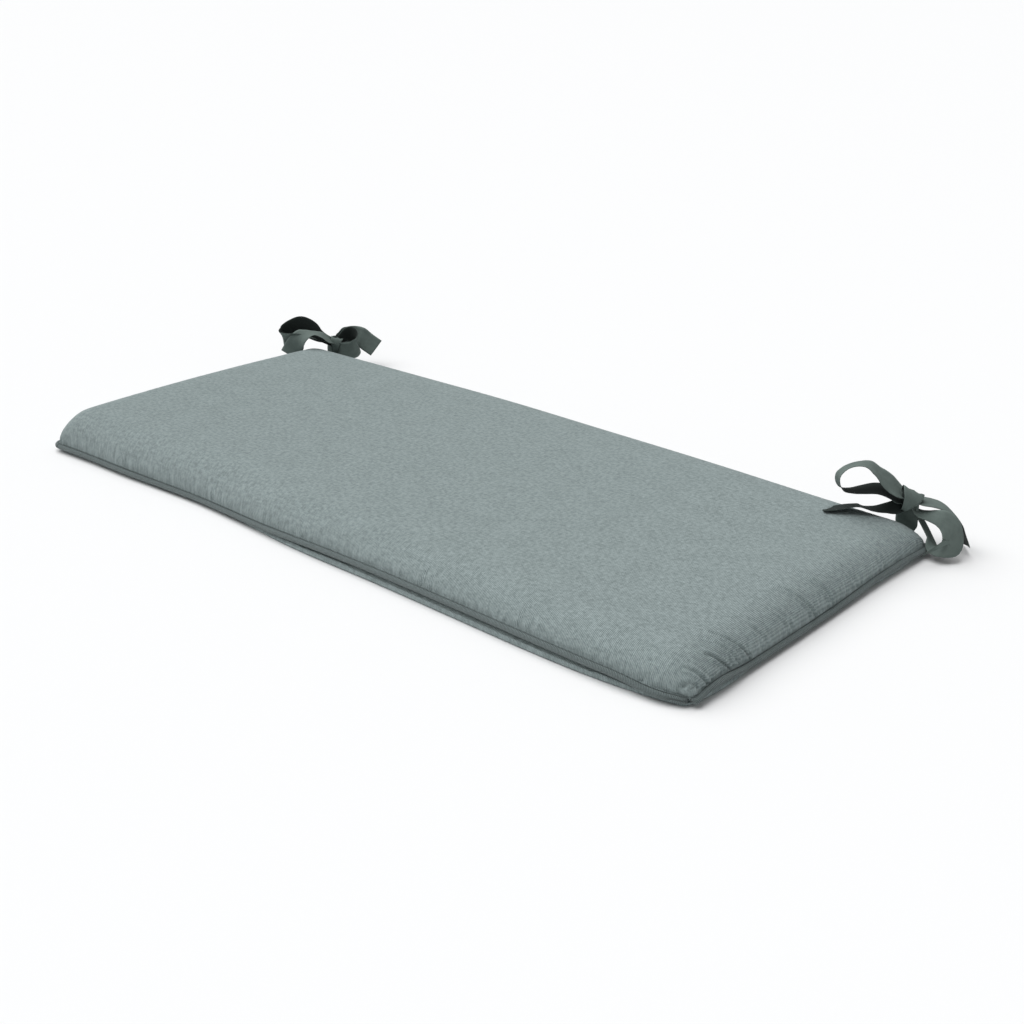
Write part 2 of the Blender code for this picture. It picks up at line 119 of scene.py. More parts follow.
LENGTH, WIDTH = 1.10, 0.515  # over the piping
PIPING = 0.007  # its thickness
SEAM_CORNER = 0.012  # radius of the piping's middle in plan, at the corners
CORNER_HANDLE = 0.39  # length of the handles of a corner's arc, as a share of its chord
CORNER_PIECES = 9
# Each edge, from its left or front end: share of the length, height of the seam and how far in it is drawn
SEAM_FRONT = (
    (0.00, 0.0085, 0.0080), (0.07, 0.0080, 0.0120), (0.15, 0.0075, 0.0135), (0.22, 0.0070, 0.0175),
    (0.28, 0.0070, 0.0195), (0.35, 0.0080, 0.0160), (0.42, 0.0098, 0.0115), (0.60, 0.0122, 0.0085),
    (0.72, 0.0125, 0.0050), (0.82, 0.0125, 0.0015), (0.90, 0.0118, 0.0010), (0.96, 0.0100, 0.0040),
    (1.00, 0.0080, 0.0080),
)
SEAM_RIGHT = (
    (0.00, 0.0080, 0.0040), (0.05, 0.0098, 0.0045), (0.12, 0.0110, 0.0035), (0.22, 0.0085, 0.0045),
    (0.40, 0.0075, 0.0045), (0.62, 0.0075, 0.0055), (0.76, 0.0095, 0.0065), (0.88, 0.0105, 0.0050),
    (0.95, 0.0095, 0.0035), (1.00, 0.0080, 0.0038),
)
SEAM_BACK = (
    (0.00, 0.0080, 0.0065), (0.10, 0.0090, 0.0085), (0.25, 0.0085, 0.0105), (0.40, 0.0105, 0.0095),
    (0.55, 0.0090, 0.0110), (0.70, 0.0110, 0.0095), (0.88, 0.0090, 0.0075), (1.00, 0.0080, 0.0035),
)
SEAM_LEFT = (
    (0.00, 0.0085, 0.0035), (0.15, 0.0090, 0.0040), (0.40, 0.0085, 0.0050), (0.70, 0.0095, 0.0055),
    (1.00, 0.0080, 0.0040),
)
SEAM_STEP = 0.0025  # between the points along an edge
# Puckers that stand out beside the seam: edge, share of its length, spread along it, reach in from it, depth,
# width of one fold and its slant. A few of the shares were read from a measuring script's output. The smaller
# puckers between these are drawn by chance.
PUCKERS = (
    ("right", 0.060, 0.008, 0.030, 0.0014, 0.0095, -0.60),
    ("right", 0.147, 0.008, 0.040, 0.0019, 0.0090, -0.85),
    ("right", 0.180, 0.007, 0.045, 0.0017, 0.0085, -0.60),
    ("right", 0.228, 0.007, 0.045, 0.0018, 0.0085, -0.80),
    ("right", 0.300, 0.012, 0.040, 0.0008, 0.0110, -0.60),
    ("right", 0.400, 0.011, 0.040, 0.0009, 0.0100, -0.50),
    ("right", 0.495, 0.008, 0.048, 0.0018, 0.0090, -0.55),
    ("right", 0.572, 0.008, 0.048, 0.0018, 0.0090, -0.35),
    ("right", 0.690, 0.012, 0.040, 0.0009, 0.0110, -0.40),
    ("right", 0.820, 0.012, 0.035, 0.0008, 0.0110, -0.30),
    ("front", 0.955, 0.010, 0.028, 0.0012, 0.0110, 0.40),
    ("front", 0.900, 0.014, 0.030, 0.0008, 0.0120, 0.30),
    ("front", 0.800, 0.020, 0.035, 0.0007, 0.0150, 0.20),
    ("front", 0.660, 0.018, 0.035, 0.0008, 0.0140, 0.20),
    ("front", 0.470, 0.020, 0.038, 0.0007, 0.0150, -0.10),
    ("front", 0.300, 0.018, 0.040, 0.0007, 0.0150, 0.15),
    ("front", 0.120, 0.015, 0.035, 0.0009, 0.0130, 0.20),
)


def smooth_curve(rows, places):
    """The rows of a table as a smooth curve: its first column is the place, and the rest follow it."""
    table = np.array(rows)
    knots, values = table[:, 0], table[:, 1:]
    slopes = np.gradient(values, knots, axis=0)
    places = np.atleast_1d(places)
    k = np.clip(np.searchsorted(knots, places) - 1, 0, len(knots) - 2)
    span = (knots[k + 1] - knots[k])[:, None]
    t = (places - knots[k])[:, None] / span
    start = values[k] * (1 + 2 * t) * (1 - t) ** 2 + slopes[k] * span * t * (1 - t) ** 2
    end = values[k + 1] * (3 - 2 * t) * t**2 - slopes[k + 1] * span * (1 - t) * t**2
    return start + end


def seam_side(edge, size, axis, sign, near, far):
    """The seam's middle along one edge, clear of its corners, from the low end to the high one."""
    low, high = -size / 2 + near, size / 2 - far
    along = np.arange(low, high, SEAM_STEP)
    heights, drawn_in = smooth_curve(edge, along / size + 0.5).T
    across = sign * ((WIDTH if axis == 0 else LENGTH) / 2 - drawn_in)
    plan = (along, across) if axis == 0 else (across, along)
    return np.column_stack([*plan, heights])


def seam_corner(before, after):
    """An arc between the ends of two sides."""
    start, end = Vector(before[-1]), Vector(after[0])
    into = (start - Vector(before[-2])).normalized()
    out = (Vector(after[1]) - end).normalized()
    reach = (end - start).length * CORNER_HANDLE
    arc = []
    for k in range(1, CORNER_PIECES):
        t = k / CORNER_PIECES
        near, far = start + into * reach, end - out * reach
        arc.append(
            start * (1 - t) ** 3 + near * 3 * t * (1 - t) ** 2 + far * 3 * t**2 * (1 - t) + end * t**3
        )
    return np.array(arc)


def edge_sides():
    """The four sides in order round the seam: front, right, back and left."""
    inset = [SEAM_CORNER + table[k][2] for table, k in (
        (SEAM_LEFT, 0), (SEAM_RIGHT, 0), (SEAM_LEFT, -1), (SEAM_RIGHT, -1),
        (SEAM_FRONT, 0), (SEAM_BACK, 0), (SEAM_FRONT, -1), (SEAM_BACK, -1),
    )]
    front = seam_side(SEAM_FRONT, LENGTH, 0, -1, inset[0], inset[1])
    back = seam_side(SEAM_BACK, LENGTH, 0, 1, inset[2], inset[3])
    left = seam_side(SEAM_LEFT, WIDTH, 1, -1, inset[4], inset[5])
    right = seam_side(SEAM_RIGHT, WIDTH, 1, 1, inset[6], inset[7])
    return {"front": front, "right": right, "back": back[::-1], "left": left[::-1]}


sides = edge_sides()
order = ("front", "right", "back", "left")
seam = []
for k, name in enumerate(order):
    seam += list(sides[name]) + list(seam_corner(sides[name], sides[order[(k + 1) % 4]]))
seam = np.array(seam)
seam_steps = np.linalg.norm(np.diff(seam, axis=0, append=seam[:1]), axis=1)
seam_places = np.concatenate([[0.0], np.cumsum(seam_steps)[:-1]])
seam_along = np.roll(seam, -1, axis=0) - np.roll(seam, 1, axis=0)
seam_along /= np.linalg.norm(seam_along, axis=1)[:, None]
seam_outward = np.column_stack([seam_along[:, 1], -seam_along[:, 0]])
seam_outward /= np.linalg.norm(seam_outward, axis=1)[:, None]
seam_tree = KDTree(len(seam))
for k, point in enumerate(seam):
    seam_tree.insert(point, k)
seam_tree.balance()

LONGEST_EDGE = 0.0075  # a longer one along an axis is divided
EDGE_CUTS = (1, 3)  # so often, along X and along Y
LINED_UP = 0.8  # share of an edge's length that runs along the axis that it counts for
CREASED_CORNER = Vector((0.54, -0.24, 0.015))  # where the creases need the smallest faces
CREASED_REACH = 0.042
CREASED_CUTS = 2


def fine_pad():
    """The pad's solid as a smooth, finely divided cover, its underside still flat on the floor."""
    bm = bmesh.new()
    bm.from_mesh(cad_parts["pad"].data)
    bmesh.ops.remove_doubles(bm, verts=bm.verts, dist=1e-5)
    bmesh.ops.join_triangles(
        bm, faces=bm.faces, angle_face_threshold=math.pi, angle_shape_threshold=math.pi
    )
    cage = mesh_object("pad_cage", bm)
    smooth = cage.modifiers.new("smooth", "SUBSURF")
    smooth.levels = smooth.render_levels = 2
    bm = bmesh.new()
    bm.from_object(cage, bpy.context.evaluated_depsgraph_get())
    bpy.data.objects.remove(cage)
    for axis, cuts in enumerate(EDGE_CUTS):
        edges = []
        for edge in bm.edges:
            run = edge.verts[0].co - edge.verts[1].co
            if abs(run[axis]) > max(LONGEST_EDGE, LINED_UP * run.length):
                edges.append(edge)
        bmesh.ops.subdivide_edges(bm, edges=edges, cuts=cuts, use_grid_fill=True)
    creased = {vert for vert in bm.verts if (vert.co - CREASED_CORNER).length < CREASED_REACH}
    near = [edge for edge in bm.edges if creased.issuperset(edge.verts)]
    bmesh.ops.subdivide_edges(bm, edges=near, cuts=CREASED_CUTS, use_grid_fill=True)
    return bm


pad = mesh_object("pad_cover", fine_pad())

# The finished seam sits a little off the pattern: it rides up along the front, and at the front right corner
# it is drawn back over the underside, where a fold of the top panel curls round it
FRONT_RIDE = 0.0028
FRONT_RIDE_SPAN = (-0.14, 0.50)  # where along the front it starts and ends
FRONT_RIDE_EASE = (0.16, 0.05)  # the lengths over which it rises and falls
FRONT_ZONE, RIGHT_ZONE = -0.2, 0.5  # the front edge lies before the first, the right edge beyond the second
CORNER_AT = (0.5385, -0.2462)
CORNER_DRAW = (0.0015, 0.0085, -0.0010)
CORNER_SPREAD = 0.018
SEAM_TUCK = 0.0028  # how far the cloth is drawn in where it dives into the seam
TUCK_REACH = 0.0060
UNDERSIDE = 0.006  # below this height the cover is the bottom panel, which lies still
PUCKER_RELIEF = 1.9  # every pucker's depth is multiplied by this
PUCKER_SPAN, PUCKER_IN = 0.06, 0.075  # no pucker goes further than this along the seam and in from it
PUCKER_START = 0.006  # from the seam to where a pucker has its full depth
SEAM_GRIP = 0.014  # how far in from the seam the cloth moves with it
# Each crease round that corner: its depth, its width and the points it passes through. A measuring script
# worked out the points of the first two from places picked by eye, and those of the third were set by hand.
CREASES = (
    (0.0050, 0.0030, (
        (0.5275, -0.2470, 0.0120), (0.5311, -0.2424, 0.0205), (0.5355, -0.2403, 0.0254),
        (0.5396, -0.2374, 0.0262), (0.5427, -0.2310, 0.0211), (0.5457, -0.2258, 0.0142),
    )),
    (0.0036, 0.0020, (
        (0.5346, -0.2417, 0.0158), (0.5377, -0.2395, 0.0195), (0.5408, -0.2369, 0.0207),
        (0.5443, -0.2330, 0.0180),
    )),
    (0.0040, 0.0020, (
        (0.5330, -0.2405, 0.0135), (0.5385, -0.2400, 0.0130), (0.5420, -0.2385, 0.0120),
    )),
)
CREASE_REACH = 0.035  # of them all, from the middle of the first
CREASE_POINTS = 60
CREASE_END = 0.15  # share of its depth that a crease has at its ends
CREASE_RIM = (0.35, 2.6)  # the cloth stands up beside a crease: share of its depth, and of its width
RIGHT_HUMP = (-0.190, 0.030, 0.0028)  # where along the right edge the seam rides up, its spread and how far


def seam_distance(point):
    """The place round the seam nearest to a point, how far off it is and the number of the seam's point."""
    _, k, _ = seam_tree.find(point)
    offset = point - Vector(seam[k])
    along = offset.dot(Vector(seam_along[k]))
    return seam_places[k] + along, math.sqrt(max(0.0, offset.length_squared - along * along)), k


def edge_place(edge, share):
    """The place round the seam of a share of one edge."""
    start, end = (seam_places[seam_tree.find(sides[edge][k])[1]] for k in (0, -1))
    return start + (end - start) * share


def seam_ease(points):
    """How far the finished seam lies from the pattern's, at each of these points."""
    x, y = points[:, 0], points[:, 1]
    off = ((x - CORNER_AT[0]) ** 2 + (y - CORNER_AT[1]) ** 2) / CORNER_SPREAD**2
    corner = np.exp(-off)[:, None] * np.array(CORNER_DRAW)
    start, end = FRONT_RIDE_SPAN
    rise, fall = FRONT_RIDE_EASE
    ride = np.clip((x - start) / rise, 0, 1) * np.clip((end - x) / fall, 0, 1) * (y < FRONT_ZONE)
    lift = FRONT_RIDE * ride * ride * (3 - 2 * ride)
    middle, spread, height = RIGHT_HUMP
    lift += height * np.exp(-(((y - middle) / spread) ** 2)) * (x > RIGHT_ZONE)
    return corner + lift[:, None] * np.array((0, 0, 1))


def corner_fold(points):
    """How far the creases that curl round the front right corner press the cover in."""
    pressed = np.zeros(len(points))
    middle = np.array(CREASES[0][2][2])
    near = np.flatnonzero(np.linalg.norm(points - middle, axis=1) < CREASE_REACH)
    rim, rim_width = CREASE_RIM
    for depth, width, rows in CREASES:
        shares = np.linspace(0, len(rows) - 1, CREASE_POINTS)
        line = smooth_curve([(k, *row) for k, row in enumerate(rows)], shares)
        fade = np.minimum(1.0, np.minimum(shares, shares[-1] - shares) + CREASE_END)
        gaps = np.linalg.norm(points[near, None, :] - line[None, :, :], axis=2)
        nearest, gap = gaps.argmin(axis=1), gaps.min(axis=1)
        press = np.exp(-((gap / width) ** 2)) - rim * np.exp(-((gap / (rim_width * width)) ** 2))
        pressed[near] += depth * fade[nearest] * press
    return -pressed


def pucker_folds():
    """Every fold beside the seam: place round it, spread, reach, depth, width of one fold and slant."""
    folds = [(edge_place(edge, share), *rest) for edge, share, *rest in PUCKERS]
    chance = random.Random(5)
    place = 0.0
    while place < seam_places[-1]:
        folds.append((
            place, chance.uniform(0.006, 0.014), chance.uniform(0.02, 0.04),
            chance.uniform(0.0001, 0.0004), chance.uniform(0.009, 0.016), chance.uniform(-0.3, 0.3),
        ))
        place += chance.uniform(0.012, 0.035)
    return folds


def shape_pad(mesh):
    """Puckers the cover beside the seam, folds it round the corner and carries it along with the seam."""
    points, normals = np.empty(len(mesh.vertices) * 3), np.empty(len(mesh.vertices) * 3)
    mesh.vertices.foreach_get("co", points)
    mesh.vertices.foreach_get("normal", normals)
    points, normals = points.reshape(-1, 3), normals.reshape(-1, 3)
    place, gap, number = np.array([seam_distance(Vector(point)) for point in points]).T
    move = corner_fold(points) - SEAM_TUCK * np.exp(-((gap / TUCK_REACH) ** 2))
    for middle, spread, reach, depth, fold, slant in pucker_folds():
        near = (abs(place - middle) < PUCKER_SPAN) & (gap < PUCKER_IN)
        off = place[near] - middle - slant * gap[near]
        ripple = np.exp(-((off / spread) ** 2)) * np.cos(2 * math.pi * off / fold)
        fade = np.exp(-((gap[near] / reach) ** 2)) * np.minimum(1.0, gap[near] / PUCKER_START)
        move[near] -= PUCKER_RELIEF * depth * ripple * fade
    move[(points[:, 2] < UNDERSIDE) | (normals[:, 2] < 0)] = 0.0
    grip = np.exp(-((gap / SEAM_GRIP) ** 2)) * np.clip(points[:, 2] / UNDERSIDE, 0, 1)
    points += normals * move[:, None] + seam_ease(seam[number.astype(int)]) * grip[:, None]
    mesh.vertices.foreach_set("co", points.ravel())
    mesh.update()


ROLL = 0.042  # width of the band in which the top rolls down to the seam
ROLL_FULLNESS = 2.1  # power of the roll's curve: 2 is a quarter ellipse, more is boxier
ROLL_FALL = 0.028  # how much longer the cloth over the roll is than the roll is wide


def lay_cloth(mesh):
    """Writes where each point lies on the cut cloth, which follows the rolled edges, in metres."""
    lay = mesh.attributes.new("cloth", "FLOAT_VECTOR", "POINT")
    flat = []
    for vert in mesh.vertices:
        place = []
        for axis, size in ((0, LENGTH), (1, WIDTH)):
            side = size / 2 - abs(vert.co[axis])
            left_over = max(0.0, 1 - side / ROLL)
            fallen = 1 - (1 - min(1.0, left_over) ** ROLL_FULLNESS) ** (1 / ROLL_FULLNESS)
            roll = ROLL_FALL * fallen if vert.co.z > UNDERSIDE else 0.0
            place.append(math.copysign(abs(vert.co[axis]) + roll, vert.co[axis]))
        flat += [*place, 0.0]
    lay.data.foreach_set("vector", flat)


lay_cloth(pad.data)

# The filling presses the cover out: a coarser copy of it, cut a little longer than the seam that it is sewn
# into, is drawn in a little and let go under the filling's pressure
CLOTH_CELL = 0.006
CLOTH_EASE = 0.03  # how much longer it is cut beside the seam, as a share
EASE_REACH = 0.035
OPEN_BELOW = 0.004  # the copy has no bottom panel
SEWN_WITHIN, SEWN_BELOW = 0.007, 0.008  # it is held this near to the seam, and below this height
FIRST_DRAWN_IN, DRAWN_OVER = 0.0015, 0.020  # how far it is drawn in, and the width over which that grows
FILL_PRESSURE = 0.35
SETTLE_FRAMES = 16
NEAREST = 4  # points of the copy that a point of the cover moves with
NEAREST_SOFT = 0.0005  # keeps the nearest from counting alone
SETTLED_SHARE = 0.5  # how far the cover has gone from its cut form to the pressed one


def cloth_copy():
    """An even mesh over the pad, open underneath, and where its vertices start."""
    bag = bpy.data.objects.new("pad_cloth", pad.data.copy())
    scene.collection.objects.link(bag)
    remesh = bag.modifiers.new("even cloth", "REMESH")
    remesh.mode = "VOXEL"
    remesh.voxel_size = CLOTH_CELL
    evened = bag.evaluated_get(bpy.context.evaluated_depsgraph_get())
    bag.data = bpy.data.meshes.new_from_object(evened)
    bag.modifiers.clear()
    bm = bmesh.new()
    bm.from_mesh(bag.data)
    bmesh.ops.delete(bm, geom=[vert for vert in bm.verts if vert.co.z < OPEN_BELOW], context="VERTS")
    bm.to_mesh(bag.data)
    bm.free()
    return bag, np.array([vert.co for vert in bag.data.vertices])


def settle(bag):
    """Runs the cloth under the filling's pressure and returns where its vertices come to rest."""
    eased, sewn = bag.vertex_groups.new(name="eased"), bag.vertex_groups.new(name="sewn")
    normals = np.array([vert.normal for vert in bag.data.vertices])
    points = np.array([vert.co for vert in bag.data.vertices])
    for k, point in enumerate(points):
        _, _, gap = seam_tree.find(point)
        eased.add([k], math.exp(-((gap / EASE_REACH) ** 2)), "REPLACE")
        if gap < SEWN_WITHIN or point[2] < SEWN_BELOW:
            sewn.add([k], 1.0, "REPLACE")
        else:
            points[k] -= normals[k] * FIRST_DRAWN_IN * min(1.0, (gap - SEWN_WITHIN) / DRAWN_OVER)
    bag.data.vertices.foreach_set("co", points.ravel())
    cloth = bag.modifiers.new("filling", "CLOTH")
    cloth.settings.quality = 3
    cloth.settings.mass = 0.15
    cloth.settings.use_pressure = True
    cloth.settings.uniform_pressure_force = FILL_PRESSURE
    cloth.settings.effector_weights.gravity = 0
    cloth.settings.vertex_group_mass = "sewn"
    cloth.settings.vertex_group_shrink = "eased"
    cloth.settings.shrink_min = 0.0
    cloth.settings.shrink_max = -CLOTH_EASE
    cloth.settings.tension_stiffness = cloth.settings.compression_stiffness = 15
    cloth.settings.shear_stiffness = 5
    cloth.settings.bending_stiffness = 0.1
    cloth.collision_settings.use_collision = False
    cloth.collision_settings.use_self_collision = False
    cloth.point_cache.frame_start, cloth.point_cache.frame_end = 1, SETTLE_FRAMES
    for step in range(1, SETTLE_FRAMES + 1):
        scene.frame_set(step)
    settled = bag.evaluated_get(bpy.context.evaluated_depsgraph_get())
    after = np.array([vert.co for vert in settled.data.vertices])
    bpy.data.objects.remove(bag)
    scene.frame_set(1)
    return after


def press_out(mesh):
    """Moves the pad's cover with the settled cloth."""
    bag, before = cloth_copy()
    moved = settle(bag) - before
    tree = KDTree(len(before))
    for k, point in enumerate(before):
        tree.insert(point, k)
    tree.balance()
    points = np.empty(len(mesh.vertices) * 3)
    mesh.vertices.foreach_get("co", points)
    points = points.reshape(-1, 3)
    shift = np.zeros_like(points)
    for k in np.flatnonzero(points[:, 2] > SEWN_BELOW):
        found = tree.find_n(points[k], NEAREST)
        near = np.array([1 / (gap + NEAREST_SOFT) for _, _, gap in found])
        shift[k] = near @ moved[[number for _, number, _ in found]] / near.sum()
    mesh.vertices.foreach_set("co", (points + SETTLED_SHARE * shift).ravel())
    mesh.update()


press_out(pad.data)
shape_pad(pad.data)


class Shade:
    """A value in a material. Sums written with it add the nodes that work them out."""

    def __init__(self, tree, socket=None):
        self.tree, self.socket = tree, socket

    def node(self, kind, settings, sockets, output=0):
        """A node of any kind: its settings are made first, then the values or links of its sockets."""
        made = self.tree.nodes.new("ShaderNode" + kind)
        for name, value in settings.items():
            setattr(made, name, value)
        for name, value in sockets.items():
            if isinstance(value, Shade):
                self.tree.links.new(value.socket, made.inputs[name])
            else:
                made.inputs[name].default_value = value
        return Shade(self.tree, made.outputs[output])

    def maths(self, operation, *values):
        """A Math node on some values, of which this may be one."""
        return self.node("Math", {"operation": operation}, dict(enumerate(values)))

    def __add__(self, other):
        return self.maths("ADD", self, other)

    def __sub__(self, other):
        return self.maths("SUBTRACT", self, other)

    def __rsub__(self, other):
        return self.maths("SUBTRACT", other, self)

    def __mul__(self, other):
        return self.maths("MULTIPLY", self, other)

    __radd__ = __add__
    __rmul__ = __mul__

    def wave(self, pitch):
        """A wave from 0 to 1 along this value, with the given pitch."""
        return (self * (2 * math.pi / pitch)).maths_of("SINE") * 0.5 + 0.5

    def maths_of(self, operation):
        """A Math node on this value alone."""
        return self.maths(operation, self)

    def mottle(self, scales, detail=2.0, rough=0.5):
        """Soft noise from 0 to 1 over this place, with that many cells to a metre each way."""
        place = self.node("VectorMath", {"operation": "MULTIPLY"}, {0: self, 1: scales})
        cells = {"Vector": place, "Scale": 1.0, "Detail": detail, "Roughness": rough}
        return self.node("TexNoise", {}, cells)

    def between(self, low, high):
        """The colour this far from low to high, of which low may be worked out by nodes too."""
        mix = {"Factor": self, 6: low if isinstance(low, Shade) else (*low, 1), 7: (*high, 1)}
        return self.node("Mix", {"data_type": "RGBA"}, mix, output=2)


SHEEN_ROUGHNESS = 0.5


def new_material(name, roughness, gloss, sheen, sheen_tint):
    """A woven finish, with what is the same all over it set on the shader's own sockets."""
    material = bpy.data.materials.new(name)
    material.use_nodes = True
    shader = material.node_tree.nodes["Principled BSDF"]
    shader.inputs["Roughness"].default_value = roughness
    shader.inputs["Sheen Weight"].default_value = sheen
    shader.inputs["Sheen Roughness"].default_value = SHEEN_ROUGHNESS
    shader.inputs["Sheen Tint"].default_value = (*sheen_tint, 1)
    shader.inputs["Specular IOR Level"].default_value = gloss
    return material, shader, Shade(material.node_tree)


def finish_material(shader, shade, colour, height, distance, strength):
    """Gives the shader its colour, and its relief from a height."""
    bump = shade.node("Bump", {}, {"Height": height, "Distance": distance, "Strength": strength})
    shade.tree.links.new(colour.socket, shader.inputs["Base Color"])
    shade.tree.links.new(bump.socket, shader.inputs["Normal"])


CLOTH_DARK, CLOTH_LIGHT = (0.178, 0.222, 0.222), (0.346, 0.416, 0.418)
CLOTH_FINISH = (0.85, 0.25, 0.25, (0.8, 0.85, 0.84))  # roughness, gloss, sheen and the sheen's tint
CLOTH_RELIEF = 0.0007
RIB_PITCH = 0.0020  # between the cover cloth's ribs, which run across the cushion
THREAD_PITCH = 0.0016


def cover_cloth():
    """Heathered yarn: each rib is flecked along its length, the whole cloth is faintly mottled, and the
    valleys between ribs and threads are darkened as painted shade.
    """
    material, shader, shade = new_material("cover cloth", *CLOTH_FINISH)
    place = shade.node("Attribute", {"attribute_name": "cloth"}, {}, output=1)
    along = place.node("SeparateXYZ", {}, {0: place})
    across = place.node("SeparateXYZ", {}, {0: place}, output=1)
    rib = along.wave(RIB_PITCH)
    thread = (across + along * 0.5).wave(THREAD_PITCH)
    flecks = place.mottle((150, 300, 1), 3.0, 0.65)
    strokes = place.mottle((330, 120, 1), 2.0, 0.6)
    patches = place.mottle((28, 34, 1), 2.0)
    # The rib and thread waves darken the colour in the weave's valleys: painted shade, besides the bump's
    # relief
    tone = flecks * 1.9 + strokes * 1.3 + patches * 0.4 + rib * 0.5 + thread * 0.15 - 1.62
    colour = tone.node("Clamp", {}, {"Value": tone}).between(CLOTH_DARK, CLOTH_LIGHT)
    height = rib * 0.8 + thread * 0.25 + flecks * 0.6
    finish_material(shader, shade, colour, height, CLOTH_RELIEF, strength=0.9)
    return material


pad.data.materials.append(cover_cloth())
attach(pad, "root")
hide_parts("pad")

# ------------------------------------------------------------------ piping
# A soft cord in a bias strip of the cover cloth, sewn into the seam all the way round. At the front right
# corner the strip is snipped and turned so tightly that it closes into a notch.

# The cover cloth's colours at about half their lightness: painted shade on the cord
WELT_SHADED_DARK, WELT_SHADED_LIGHT = (0.082, 0.106, 0.106), (0.186, 0.226, 0.226)
WELT_RELIEF = 0.0008
NOTCH_DEPTH = 0.0065
NOTCH_WIDTH = 0.0030
NOTCH_POINTS = 8  # of the seam, on each side of the corner
NOTCH_PINCH = 0.7  # share by which the cord is squeezed thin in the notch


def piping_path():
    """The cord's middle and the share of its thickness at each point: the finished seam, with its notch."""
    path, thickness = seam + seam_ease(seam), np.ones(len(seam))
    corner = min(range(len(seam)), key=lambda k: math.dist(seam[k][:2], CORNER_AT))
    for k in range(corner - NOTCH_POINTS, corner + NOTCH_POINTS + 1):
        off = (seam_places[k] - seam_places[corner]) / NOTCH_WIDTH
        path[k, :2] -= seam_outward[corner] * NOTCH_DEPTH * math.exp(-off * off)
        thickness[k] -= NOTCH_PINCH * math.exp(-off * off)
    return path, thickness


def make_piping():
    """The cord as one closed round tube."""
    curve = bpy.data.curves.new("piping_cord", "CURVE")
    curve.dimensions = "3D"
    curve.bevel_depth = PIPING / 2
    curve.bevel_resolution = 4
    spline = curve.splines.new("POLY")
    path, thickness = piping_path()
    spline.points.add(len(path) - 1)
    for spline_point, place, share in zip(spline.points, path, thickness):
        spline_point.co, spline_point.radius = (*place, 1.0), share
    spline.use_cyclic_u = True
    cord = bpy.data.objects.new("piping_cord", curve)
    scene.collection.objects.link(cord)
    drawn = cord.evaluated_get(bpy.context.evaluated_depsgraph_get())
    bm = bmesh.new()
    bm.from_mesh(bpy.data.meshes.new_from_object(drawn))
    bmesh.ops.remove_doubles(bm, verts=bm.verts, dist=1e-6)
    bpy.data.objects.remove(cord)
    return mesh_object("piping_welt", bm)


piping = make_piping()
lay = piping.data.attributes.new("cloth", "FLOAT_VECTOR", "POINT")
wound = []
for vert in piping.data.vertices:
    place, _, k = seam_distance(vert.co)
    offset = vert.co - Vector(seam[k])
    turn = math.atan2(offset.z, offset.x * seam_outward[k][0] + offset.y * seam_outward[k][1])
    wound += [place, turn * PIPING / 2, 0.0]
lay.data.foreach_set("vector", wound)


def shaded_welt_cloth():
    """The cover cloth cut on the bias, so that its ribs wind round the cord. Its colours are about half as
    light as the cover's: painted shade for the cord low in the seam.
    """
    material, shader, shade = new_material("shaded welt cloth", *CLOTH_FINISH)
    place = shade.node("Attribute", {"attribute_name": "cloth"}, {}, output=1)
    along = place.node("SeparateXYZ", {}, {0: place})
    round_cord = place.node("SeparateXYZ", {}, {0: place}, output=1)
    rib = (along + round_cord * 0.6).wave(RIB_PITCH)
    flecks = place.mottle((300, 300, 1), 3.0, 0.6)
    # The rib darkens the colour between the ribs: painted shade in the weave's valleys
    tone = flecks * 1.2 + rib * 0.9 - 0.62
    colour = tone.node("Clamp", {}, {"Value": tone}).between(WELT_SHADED_DARK, WELT_SHADED_LIGHT)
    height = rib * 0.9 + flecks * 0.4
    finish_material(shader, shade, colour, height, WELT_RELIEF, strength=0.9)
    return material


piping.data.materials.append(shaded_welt_cloth())
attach(piping, "root")
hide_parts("piping")

# ------------------------------------------------------------------ bows
# At each back corner a flat woven ribbon is caught in the seam and tied in a bow. One end is drawn over the
# knot and tucked down behind it, which leaves two loops and two free tails. The right bow leans on the crown
# and hangs over the edge, and the left one stands on its edges behind the pad.

RIBBON = 0.030
RIBBON_THICK = 0.0007
RIBBON_STEP = 0.0020  # between the sections along a ribbon
RIBBON_COLUMNS = 8  # faces across it
RIBBON_CUP, CUP_LEVEL = 0.0008, 0.3  # how far its edges stand up, and the share that its middle sinks instead
GATHER_DEPTH, GATHER_TURN = 0.0014, 7.0  # the folds across it where it is gathered, in radians to its edge
